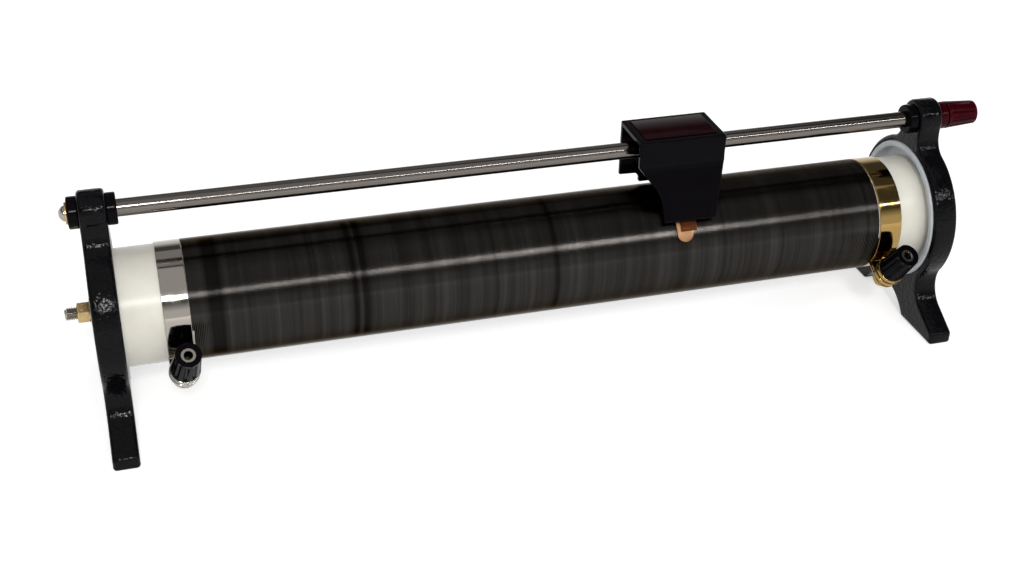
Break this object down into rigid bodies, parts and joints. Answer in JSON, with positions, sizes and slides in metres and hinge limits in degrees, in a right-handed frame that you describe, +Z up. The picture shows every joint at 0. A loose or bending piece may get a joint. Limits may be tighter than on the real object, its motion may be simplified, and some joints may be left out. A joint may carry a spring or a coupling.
{
  "type": "sliding rheostat",
  "caption": "Wire-wound ceramic tube between two cast end plates, with a sprung contact on a slider that runs along a rod to set the resistance, and screw posts with plug sockets.",
  "frame": {"origin": "middle of the part's box, on the surface that the feet stand on", "axes": "+X along the tube towards the red post, +Y to the back, +Z up"},
  "size_m": [0.4508, 0.1, 0.1145],
  "materials": {
    "black_enamel": "glossy hammered enamel",
    "grey_ring": "matt",
    "cream_ceramic": "matt",
    "resistance_wire": "oxidised wire",
    "nickel": "polished plate",
    "brass": "satin",
    "copper": "satin",
    "black_plastic": "moulded",
    "red_plastic": "moulded",
    "maroon_label": "printed, bare"
  },
  "bodies": {
    "frame": {"left_end_plate": "black_enamel", "right_end_plate": "black_enamel", "left_end_ring": "grey_ring", "right_end_ring": "grey_ring", "ceramic_tube": "cream_ceramic", "resistance_winding": "resistance_wire", "left_clamp_band": "nickel", "right_clamp_band": "nickel", "tie_rod": "nickel", "tie_rod_nuts": "brass", "tie_rod_washers": "nickel", "slide_rod": "nickel", "left_outer_bush": "black_plastic", "left_inner_bush": "black_plastic", "right_inner_bush": "black_plastic", "rod_end_washer": "brass", "rod_end_screw": "nickel", "left_post_stud": "nickel", "left_post_collar": "nickel", "left_post_washer": "nickel", "left_post_nut": "nickel", "right_post_stud": "nickel", "right_post_collar": "nickel", "right_post_washer": "nickel", "right_post_nut": "nickel", "red_post_base": "red_plastic", "red_post_stud": "nickel"},
    "slider": {"slider_housing": "black_plastic", "slider_carriage": "brass", "contact_leaf": "copper", "backing_leaf": "copper", "leaf_screws": "nickel", "housing_screws": "nickel", "slider_label": "maroon_label"},
    "left_post_lifter": {"left_post_insert": "brass"},
    "left_post_knob": {"left_post_cap": "black_plastic"},
    "right_post_lifter": {"right_post_insert": "brass"},
    "right_post_knob": {"right_post_cap": "black_plastic"},
    "red_post_lifter": {"red_post_insert": "brass"},
    "red_post_knob": {"red_post_cap": "red_plastic"}
  },
  "joints": [
    {"name": "slider_slide", "type": "slide", "parent": "frame", "child": "slider", "axis": [1, 0, 0], "range_m": [-0.231, 0.098]},
    {"name": "left_post_lift", "type": "slide", "parent": "frame", "child": "left_post_lifter", "axis": [0.1045, -0.5846, 0.8046], "range_m": [0, 0.004]},
    {"name": "left_post_turn", "type": "hinge", "parent": "left_post_lifter", "child": "left_post_knob", "pos_m": [-0.17567, -0.0391, 0.04649], "axis": [0.1045, -0.5846, 0.8046], "range_deg": [0, 1440]},
    {"name": "right_post_lift", "type": "slide", "parent": "frame", "child": "right_post_lifter", "axis": [0.1045, -0.5846, 0.8046], "range_m": [0, 0.004]},
    {"name": "right_post_turn", "type": "hinge", "parent": "right_post_lifter", "child": "right_post_knob", "pos_m": [0.17443, -0.0391, 0.04649], "axis": [0.1045, -0.5846, 0.8046], "range_deg": [0, 1440]},
    {"name": "red_post_lift", "type": "slide", "parent": "frame", "child": "red_post_lifter", "axis": [1, 0, 0], "range_m": [0, 0.004]},
    {"name": "red_post_turn", "type": "hinge", "parent": "red_post_lifter", "child": "red_post_knob", "pos_m": [0.21935, 0, 0.10455], "axis": [1, 0, 0], "range_deg": [0, 1440]}
  ],
  "couplings": [
    {"joint": "left_post_turn", "follows": "left_post_lift", "rad_per_m": 6283.2},
    {"joint": "right_post_turn", "follows": "right_post_lift", "rad_per_m": 6283.2},
    {"joint": "red_post_turn", "follows": "red_post_lift", "rad_per_m": 6283.2}
  ]
}
